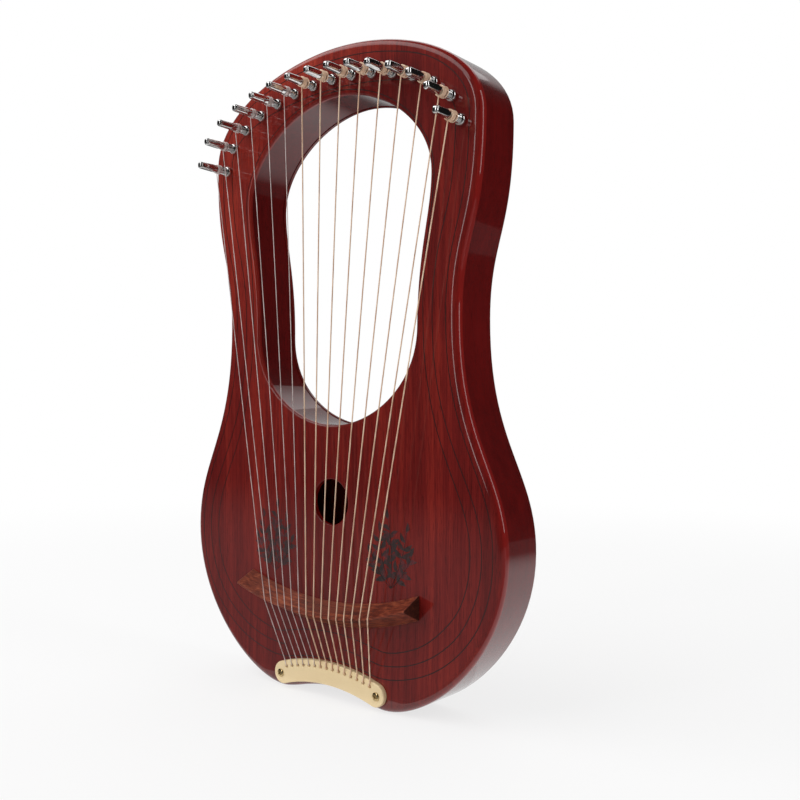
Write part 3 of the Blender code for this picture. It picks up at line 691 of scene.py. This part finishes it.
def knotValue(knots, at):
    # a smooth curve through (place, value) pairs
    i = next((k for k in range(1, len(knots)) if knots[k][0] >= at), len(knots) - 1)
    (x0, y0), (x1, y1) = knots[i - 1], knots[i]

    def slope(k):
        low, high = knots[max(k - 1, 0)], knots[min(k + 1, len(knots) - 1)]
        return (high[1] - low[1]) / (high[0] - low[0])

    t = max(0.0, min(1.0, (at - x0) / (x1 - x0)))
    run = x1 - x0
    return ((2 * t**3 - 3 * t**2 + 1) * y0 + (t**3 - 2 * t**2 + t) * run * slope(i - 1)
            + (3 * t**2 - 2 * t**3) * y1 + (t**3 - t**2) * run * slope(i))


def wayIn(i):
    # how far the inward normal at outline point i runs before it meets the opening
    start = outline[i]
    normal = (start - shifted(outline, -1.0)[i]) * -1.0
    best = 1e9
    for k, a in enumerate(opening):
        side = opening[(k + 1) % len(opening)] - a
        cross = normal.x * side.y - normal.y * side.x
        if abs(cross) > 1e-9:
            gap = a - start
            along = (gap.x * side.y - gap.y * side.x) / cross
            share = (gap.x * normal.y - gap.y * normal.x) / cross
            if along > 0 and 0 <= share <= 1:
                best = min(best, along)
    return best


def buildLines():
    count = len(outline)
    for name in ("outer", "middle", "inner"):
        insets = []
        for i in range(count):
            station = min(i, count - i) / lyre["outlineSteps"]
            inset = knotValue(lines[name], station)
            if name == "inner" and station < 2.2:
                along = wayIn(i) - lines["fromOpening"]
                inset = along + (inset - along) * smooth((station - 1.5) / 0.7)
            insets.append(inset)
        path = shifted(outline, [-inset for inset in insets])
        path = [p for i, p in enumerate(path) if (p - path[i - 1]).length > 0.25]
        half = lines["width"] / 2
        low, high = frontY - lines["proud"], frontY + lines["sunk"]
        bm = bmesh.new()
        addSlab(bm, [(low, shifted(path, half)), (high, shifted(path, half))],
                [[(low, shifted(path, -half)), (high, shifted(path, -half))]])
        toMesh(name + "EdgeLine", bm, lineInk, "mahogany")


sprigs = {
    "centreX": 49.5, "footZ": 73.0, "height": 40.0, "leaf": 8.2, "leafWidth": 3.3,
    # each stem: start and end angle from upright, its share of the height, its pairs of leaves
    "stems": (
        (-52, -20, 0.62, 4), (-30, -6, 0.88, 6), (-4, 10, 1.0, 7), (26, 2, 0.84, 6), (50, 22, 0.60, 4),
    ),
    "stem": 0.22, "stemSteps": 12, "leafAngleDeg": 50.0, "angleSpreadDeg": 13.0, "bend": 0.8,
    # each leaf lies a little above the one before, so that no two share a level
    "proud": 0.02, "levelStep": 0.0012,
}


def addPatch(bm, points, layer):
    face = frontY - sprigs["proud"] - sprigs["levelStep"] * layer
    loops = [[bm.verts.new((p.x, y, p.y)) for p in points] for y in (face, frontY + 0.1)]
    walls(bm, loops)
    bm.faces.new(loops[0])
    bm.faces.new(loops[1])


def addLeaf(bm, start, direction, length, width, layer):
    # a lens with a wavy rim and a bent middle
    across = Vector((-direction.y, direction.x))
    count = 9
    upper = []
    lower = []
    bend = sprigs["bend"] * (1 if layer % 2 else -1)
    for i in range(count + 1):
        t = i / count
        wide = width / 2 * math.sin(math.pi * t**0.82) * (1.0 + 0.10 * math.sin(t * 31 + layer))
        middle = start + direction * (length * t) + across * (bend * math.sin(math.pi * t))
        upper.append(middle + across * wide)
        lower.append(middle - across * wide)
    addPatch(bm, upper + lower[-2:0:-1], layer)


def turnedBy(direction, angle):
    c, d = math.cos(angle), math.sin(angle)
    return Vector((direction.x * c - direction.y * d, direction.x * d + direction.y * c))


def stemPoints(side, first, last, share):
    s = sprigs
    steps = s["stemSteps"]
    points = [Vector((side * (s["centreX"] - 2), s["footZ"]))]
    for i in range(steps):
        lean = math.radians(first + (last - first) * i / steps)
        step = Vector((-side * math.sin(lean), math.cos(lean))) * (s["height"] * share / steps)
        points.append(points[-1] + step)
    return points


def buildSprigs():
    s = sprigs
    for side, name in ((-1, "leafSprigLeft"), (1, "leafSprigRight")):
        bm = bmesh.new()
        layer = 0
        for first, last, share, pairs in s["stems"]:
            stem = stemPoints(side, first, last, share)
            addTube(bm, [Vector((p.x, frontY - 0.01, p.y)) for p in stem], s["stem"], 6)
            for i in range(1, pairs + 1):
                at = (i + 0.4) / (pairs + 1) * (s["stemSteps"] - 1)
                a, b = stem[int(at)], stem[int(at) + 1]
                along = (b - a).normalized()
                root = a.lerp(b, at - int(at))
                size = 1.0 - 0.5 * abs(i / (pairs + 1) - 0.5)
                for hand in (-1, 1):
                    layer += 1
                    if (layer * 7) % 5 == 0:
                        continue
                    angle = math.radians(s["leafAngleDeg"] + s["angleSpreadDeg"] * math.sin(layer * 2.3))
                    way = turnedBy(along, hand * angle)
                    addLeaf(bm, root, way, s["leaf"] * size, s["leafWidth"] * size, layer)
            layer += 1
            way = (stem[-1] - stem[-2]).normalized()
            addLeaf(bm, stem[-1], way, s["leaf"] * 0.8, s["leafWidth"] * 0.8, layer)
        toMesh(name, bm, leafInk, "mahogany")


buildLines()
buildSprigs()
print("lines and leaf sprigs drawn")


# Bridge

def buildBridge():
    b = bridge
    bm = bmesh.new()
    loops = []
    count = 340
    e = b["edge"]
    for i in range(count + 1):
        x = b["length"] * (i / count - 0.5)
        z = ridgeZ(x)
        nearEnd = min(1.0, (b["length"] / 2 - abs(x)) / e)
        draw = e * (1 - math.sqrt(max(0.0, 1 - (1 - nearEnd)**2)))
        slot = 0.0
        for index in range(pins["count"]):
            away = (x - fromMiddle(index) * b["stringSpacing"]) / 0.42
            slot = max(slot, b["notch"] * math.exp(-away * away))
        foot = frontY
        low, high = z - b["base"] / 2 + draw, z + b["base"] / 2 - draw
        top = ridgeY + slot + draw
        r = b["ridge"] / 2
        section = (
            (foot, low), (foot, high), (foot - 0.5, high), (foot - 0.9, high - 0.2),
            (top + 0.9, z + r + 0.45), (top + 0.25, z + r + 0.08), (top, z + r - 0.15),
            (top, z - r + 0.15), (top + 0.25, z - r - 0.08), (top + 0.9, z - r - 0.45),
            (foot - 0.9, low + 0.2), (foot - 0.5, low),
        )
        loops.append([bm.verts.new((x, y, height)) for y, height in section])
    walls(bm, loops)
    bm.faces.new(loops[0])
    bm.faces.new(loops[-1])
    piece = toMesh("stringBridge", bm, stripedBridge, "bridge_wood", sharpDeg=38.0)
    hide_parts("bridge")


buildBridge()


# String plate and its screws

def plateLoop(inset):
    radius = plate["band"] / 2
    reach = plate["length"] / 2 - radius
    tilt = math.asin(reach / plate["arc"])
    steps, ends = 40, 16
    points = []
    for side in (1, -1):
        across = side * (radius - inset)
        for i in range(steps + 1):
            a = side * tilt * (2 * i / steps - 1)
            points.append(platePoint((plate["arc"] + across) * math.sin(a), across))
        centre = platePoint(side * reach, 0)
        for i in range(1, ends):
            a = side * (math.pi / 2 - tilt) - math.pi * i / ends
            points.append(centre + Vector((math.cos(a), math.sin(a))) * (radius - inset))
    return points


def buildPlate():
    p = plate
    outer = [(plateFrontY, plateLoop(p["edge"] + 0.3))]
    outer += [(plateFrontY + depth, plateLoop(inset)) for depth, inset in roundEdge(p["edge"], 5)]
    outer.append((frontY, plateLoop(0)))
    holes = []
    spots = [(plateHole(i), p["hole"] / 2, p["sink"]) for i in range(pins["count"])]
    spots += [(place, p["screwShank"] / 2 + 0.15, 0.2) for _, place in screwSpots()]
    for place, radius, sink in spots:
        rows = [(0.0, sink + 0.15), (0.0, sink), (sink * 0.5, sink * 0.35), (sink * 1.2, 0.0)]
        levels = [(plateFrontY + depth, circle(place.x, place.y, radius + more, 24)) for depth, more in rows]
        levels.append((frontY, circle(place.x, place.y, radius, 24)))
        holes.append(levels)
    bm = bmesh.new()
    addSlab(bm, outer, holes)
    piece = toMesh("goldPlate", bm, paleGold, "plate_metal")
    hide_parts("string_plate")


def buildScrews():
    # a raised oval head with a cross recess, drawn as a height over rings
    radius, height, length = plate["screwHead"] / 2, plate["screwHeight"], plate["screwLength"]
    rings, sides = 22, 64
    for side, place in screwSpots():
        bm = bmesh.new()
        turn = 0.5 if side == "Left" else 1.1
        loops = []
        for r in range(rings, 0, -1):
            share = r / rings
            ring = []
            for k in range(sides):
                a = 2 * math.pi * k / sides
                x, z = radius * share * math.cos(a), radius * share * math.sin(a)
                u = abs(x * math.cos(turn) + z * math.sin(turn))
                v = abs(z * math.cos(turn) - x * math.sin(turn))
                arm = smooth((0.34 - min(u, v)) / 0.12) * smooth((1.55 - max(u, v)) / 0.25)
                dome = height * (0.25 + 0.75 * math.sqrt(max(0.0, 1 - share**2.4)))
                ring.append(bm.verts.new((place.x + x, plateFrontY - dome + 0.75 * arm, place.y + z)))
            loops.append(ring)
        shank = plate["screwShank"] / 2
        under = [(plateFrontY, radius), (plateFrontY, shank), (plateFrontY + length - 3, shank),
                 (plateFrontY + length - 1, 0.3)]
        below = []
        for y, reach in under:
            ring = []
            for k in range(sides):
                a = 2 * math.pi * k / sides
                ring.append(bm.verts.new((place.x + reach * math.cos(a), y, place.y + reach * math.sin(a))))
            below.append(ring)
        walls(bm, [*reversed(below), *loops])
        bm.faces.new(loops[-1])
        bm.faces.new(below[-1])
        piece = toMesh("plateScrew" + side, bm, screwBrass, "plate_metal", sharpDeg=50.0)
        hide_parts("plate_screw_" + side.lower())


buildPlate()
buildScrews()
print("bridge and string plate built")


# Tuning pins, windings and strings

def pinName(index):
    return f"{index + 1:02d}"


def stringFinish(index):
    return (plainWire, "plain_string") if index < strings["plainCount"] else (woundWire, "wound_string")


def buildPin(index, place):
    p = pins
    shaft, collar, head = p["shaft"] / 2, p["collar"] / 2, p["headAcross"] / 2
    tip = frontY - p["reach"]
    shoulder = tip + p["headLength"]
    top = frontY - seatGap
    bottom = frontY + p["setting"]
    crown = top - p["collarHeight"]
    profile = [(bottom, shaft * 0.7, 2), (bottom - 1, shaft, 2), (top, shaft, 2),
               (top, collar - 0.25, 2), (top - 0.25, collar, 2)]
    for i in range(1, 8):
        a = math.pi / 2 * i / 8
        reach = shaft + 0.1 + (collar - shaft - 0.1) * math.cos(a)
        profile.append((top - 0.25 - (p["collarHeight"] - 0.4) * math.sin(a), reach, 2))
    profile.append((crown - 0.1, shaft * 0.90, 2))
    for i in range(p["grooves"]):
        y = crown - 0.35 - i * p["grooveStep"]
        profile += [(y, shaft, 2), (y - p["grooveStep"] / 2, shaft * 0.95, 2)]
    # the drive head is nearly square, with a domed tip
    profile += [(shoulder + 0.5, shaft, 2), (shoulder + 0.1, shaft * 0.97, 2.3),
                (shoulder - 0.5, head * 1.12, 3.5), (shoulder - 1.3, head * 1.05, 5)]
    for depth, share, power in ((2.6, 0.97, 5.5), (1.3, 0.94, 5), (0.6, 0.86, 4), (0.2, 0.70, 3),
                                (0.04, 0.45, 2.4), (0.0, 0.2, 2)):
        profile.append((tip + depth, head * share, power))
    bm = bmesh.new()
    addTurned(bm, place, profile, 48, math.radians(7 * math.sin(2.1 * index)))
    name = pinName(index)
    piece = toMesh("tunerPin_" + name, bm, nickel, "pin_steel", "pin_" + name, 40.0)
    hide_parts("tuning_pin_" + name)


def buildWinding(index, place):
    size = wireSize(index)
    pitch = size * 1.04
    radius = pins["shaft"] / 2 + size / 2
    start = frontY - strings["heightAtPin"] - size * 1.12
    perTurn = 24
    turns = strings["turns"]

    def spot(a, reach, y):
        return (place.x + reach * math.cos(a), y, place.y + reach * math.sin(a))

    points = []
    for i in range(turns * perTurn + 1):
        points.append(spot(2 * math.pi * i / perTurn, radius, start - pitch * i / perTurn))
    # the end dives into the pin
    end = start - pitch * turns
    points += [spot(2 * math.pi * (turns + 0.08), radius * 0.8, end - 0.1), spot(0.0, 0.0, end - 0.2)]
    bm = bmesh.new()
    addTube(bm, points, size / 2, 9)
    name = pinName(index)
    piece = toMesh("pinWinding_" + name, bm, *stringFinish(index), "pin_" + name, 60.0)
    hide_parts("string_winding_" + name)


def buildString(index, place):
    size = wireSize(index)
    half = size / 2
    around = pins["shaft"] / 2 + 0.12 + half
    ridgeX = fromMiddle(index) * bridge["stringSpacing"]
    ridge = Vector((ridgeX, ridgeY - half + 0.12, ridgeZ(ridgeX)))
    pinY = frontY - strings["heightAtPin"]
    reach = Vector((ridge.x - place.x, ridge.z - place.y))
    leave = math.atan2(reach.y, reach.x) - math.acos(around / reach.length)
    # once round the pin, then straight to the bridge's ridge
    points = []
    wraps = 26
    for i in range(wraps + 1):
        share = 1 - i / wraps
        a = leave - math.radians(strings["wrapTurnDeg"]) * share
        x, z = place.x + around * math.cos(a), place.y + around * math.sin(a)
        points.append(Vector((x, pinY - 0.03 * size * share, z)))
    last = points[-1]
    for i in range(1, 12):
        points.append(last.lerp(ridge, i / 12))
    # over the ridge, to the plate's upper edge
    hole = plateHole(index)
    overPlate = plateFrontY - half - 0.05
    edgeX = hole.x + (ridge.x - hole.x) * 0.12
    edge = Vector((edgeX, overPlate, hole.y + plate["holeInset"] + half))
    inward = (ridge - last).normalized()
    onward = (edge - ridge).normalized()
    for back in (0.8, 0.3):
        points.append(ridge - inward * back)
    points.append(ridge + Vector((0, -0.02, 0)))
    for ahead in (0.3, 0.8):
        points.append(ridge + onward * ahead)
    points += [ridge.lerp(edge, 0.5), edge - onward * 0.6, edge + Vector((0, 0, -0.5))]
    # down through its hole, to the ball in the slot behind
    bend = plate["hole"] / 2 - half * 0.6
    for i in range(6):
        a = math.pi / 2 * i / 5
        y, z = overPlate + bend * (1 - math.cos(a)), hole.y + bend * (1 - math.sin(a)) + 0.1
        points.append(Vector((hole.x, y, z)))
    radii = [half] * len(points)
    ball = strings["ball"] / 2
    ballY = frontY + ball
    for share in (-0.98, -0.85, -0.5, 0.0, 0.5, 0.85, 0.98):
        points.append(Vector((hole.x, ballY + ball * share, hole.y)))
        radii.append(max(half, ball * math.sqrt(1 - share * share)))
    bm = bmesh.new()
    addTube(bm, points, radii, 10)
    name = pinName(index)
    piece = toMesh("lyreString_" + name, bm, *stringFinish(index), "root", 60.0)
    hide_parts("string_" + name)


for index, place in enumerate(places):
    buildPin(index, place)
    buildWinding(index, place)
    buildString(index, place)
print("pins and strings built:", len(places))


# Studio

studio = {
    "worldLevel": 0.50, "floorWhite": 0.85, "floorGlow": (0.74, 1.0), "glowReach": (0.45, 1.3),
    "lamps": (
        # name, azimuth, distance, height, width, tall, power
        ("keySoftbox", -40.0, 2.3, 2.3, 3.8, 3.0, 66.0),
        ("edgeStripLeft", -15.0, 2.3, 1.0, 0.42, 1.6, 8.0),
        ("edgeSoftRight", 95.0, 2.3, 1.25, 0.60, 2.0, 12.0),
        ("backSoftbox", 205.0, 2.2, 2.7, 3.0, 2.4, 15.0),
    ),
    # dark tent that only reflections see: radius, roof height, how far the roof reaches back
    "tentRadius": 2.7, "roof": 3.6, "roofBack": 1.5, "tentDark": 0.006,
    # its ground cards stop at the lyre's foot and lie just over the floor
    "clothEnd": -0.02, "backStart": 0.05, "cardHeight": 0.002, "floorSize": 30.0,
    "hazeNear": 0.26, "wallWhite": 0.50,
}


def around(azimuthDeg, distance, height):
    # azimuth 0 is in front of the soundboard and grows towards +X
    a = math.radians(azimuthDeg)
    return Vector((distance * math.sin(a), -distance * math.cos(a), height))


def buildLamps():
    aim = Vector((0, 0.01, 0.2))
    for name, azimuth, distance, height, width, tall, power in studio["lamps"]:
        light = bpy.data.lights.new(name, "AREA")
        light.shape = "RECTANGLE"
        light.size, light.size_y, light.energy = width, tall, power
        lamp = bpy.data.objects.new(name, light)
        lamp.location = around(azimuth, distance, height)
        target = Vector((aim.x, aim.y, lamp.location.z if "Strip" in name else aim.z))
        lamp.rotation_euler = (target - lamp.location).to_track_quat("-Z", "Y").to_euler()
        lamp.visible_camera = False
        bpy.context.scene.collection.objects.link(lamp)


def seenDirectly(graph):
    path = graph.add("ShaderNodeLightPath")
    seen = path["Is Camera Ray"].maths("MAXIMUM", path["Is Glossy Ray"])
    return seen.maths("MAXIMUM", path["Is Transmission Ray"])


def buildWorld():
    world = bpy.data.worlds.new("studio")
    bpy.context.scene.world = world
    world.use_nodes = True
    g = Graph(world.node_tree)
    strength = seenDirectly(g) * (1.0 - studio["worldLevel"]) + studio["worldLevel"]
    light = g.add("ShaderNodeBackground", None, {"Color": (1.0, 1.0, 1.0), "Strength": strength})["Background"]
    g.add("ShaderNodeOutputWorld", None, {"Surface": light})


def stagePiece(name, verts, faces, material):
    mesh = bpy.data.meshes.new(name)
    mesh.from_pydata(verts, [], faces)
    mesh.materials.append(material)
    piece = bpy.data.objects.new(name, mesh)
    bpy.context.scene.collection.objects.link(piece)
    return piece


def evenGlow(g, level):
    return g.add("ShaderNodeEmission", None, {"Color": (level, level, level), "Strength": 1.0})[0]


def tentMaterial(name, makeMask, light):
    # two even glows, mixed by a mask over the card
    material, g = newFinish(name)
    axes = g.add("ShaderNodeSeparateXYZ", None, {0: g.place()})
    sockets = {0: makeMask(g, axes), 1: evenGlow(g, studio["tentDark"]), 2: evenGlow(g, light)}
    both = g.add("ShaderNodeMixShader", None, sockets)[0]
    g.add("ShaderNodeOutputMaterial", None, {"Surface": both})
    return material


def wallMask(g, axes):
    # the wall is white only behind and to the left, and pales towards the floor
    behind = g.between(axes[1], 0.2, 1.2)
    left = g.between(axes[0], -0.4, 0.5, 1.0, 0.0)
    return behind * left * g.between(axes[2], -0.2, 0.9, 0.15, 1.0)


def clothMask(g, axes):
    return g.between(axes[1], -1.15, -0.30)


def fromMiddleOut(g, axes):
    return (axes[0] * axes[0] + axes[1] * axes[1]).maths("SQRT")


def backMask(g, axes):
    # the floor behind is white close to the lyre and dark farther off
    return g.between(fromMiddleOut(g, axes), 0.38, 0.85, 1.0, 0.10)


def noMask(g, axes):
    return axes[0] * 0.0


def floorFinish():
    material, g = newFinish("whiteFloor")
    white = studio["floorWhite"]
    matte = g.add("ShaderNodeBsdfDiffuse", None, {"Color": (white, white, white)})[0]
    # far off the floor is pure white, and close by it takes the lyre's shadow
    reach = fromMiddleOut(g, g.add("ShaderNodeSeparateXYZ", None, {0: g.place()}))
    share = g.between(reach, *studio["glowReach"], *studio["floorGlow"])
    both = g.add("ShaderNodeMixShader", None, {0: seenDirectly(g) * share, 1: matte, 2: evenGlow(g, 1.0)})[0]
    g.add("ShaderNodeOutputMaterial", None, {"Surface": both})
    return material


def flatCard(name, across, front, back, height, material):
    corners = [(-across, front, height), (across, front, height), (across, back, height), (-across, back, height)]
    return stagePiece(name, corners, [(0, 1, 2, 3)], material)


def roundWall(name, radius, height, material):
    steps = 64
    verts = []
    for i in range(steps):
        p = around(360.0 * i / steps, radius, 0.0)
        verts += [(p.x, p.y, 0.0), (p.x, p.y, height)]
    faces = []
    for i in range(steps):
        low, nextLow = 2 * i, 2 * ((i + 1) % steps)
        faces.append((low, nextLow, nextLow + 1, low + 1))
    return stagePiece(name, verts, faces, material)


def buildStage():
    s = studio
    flatCard("floor", s["floorSize"], -s["floorSize"], s["floorSize"], 0.0, floorFinish())
    reach, height = s["tentRadius"], s["cardHeight"]
    cards = [
        roundWall("tentWall", reach, s["roof"], tentMaterial("tentWall", wallMask, s["wallWhite"])),
        flatCard("tentRoof", reach, -reach, s["roofBack"], s["roof"],
                 tentMaterial("tentRoof", noMask, s["tentDark"])),
        flatCard("tentCloth", reach, -reach, s["clothEnd"], height,
                 tentMaterial("tentCloth", clothMask, s["hazeNear"])),
        flatCard("tentFloor", reach, s["backStart"], reach, height, tentMaterial("tentFloor", backMask, 1.0)),
    ]
    for card in cards:
        card.visible_camera = False
        card.visible_diffuse = False
        card.visible_shadow = False
        card.visible_transmission = False
        card.visible_volume_scatter = False


view = {
    "place": (0.39209, -0.43033, 0.17892), "azimuth": 0.671937, "tilt": -0.006462, "roll": 0.005858,
    "lens": 42.397,
}


def buildCamera():
    a, e, r = view["azimuth"], view["tilt"], view["roll"]
    forward = Vector((-math.sin(a) * math.cos(e), math.cos(a) * math.cos(e), -math.sin(e)))
    right = Vector((math.cos(a), math.sin(a), 0))
    up = right.cross(forward)
    across = right * math.cos(r) + up * math.sin(r)
    above = up * math.cos(r) - right * math.sin(r)
    data = bpy.data.cameras.new("photoCamera")
    data.lens = view["lens"]
    data.sensor_width = 36.0
    data.clip_start = 0.01
    camera = bpy.data.objects.new("photoCamera", data)
    turn = Matrix((across, above, -forward)).transposed()
    camera.matrix_world = Matrix.Translation(view["place"]) @ turn.to_4x4()
    bpy.context.scene.collection.objects.link(camera)
    bpy.context.scene.camera = camera


buildLamps()
buildWorld()
buildStage()
buildCamera()
bpy.context.scene.view_settings.view_transform = "Standard"
print("studio set")
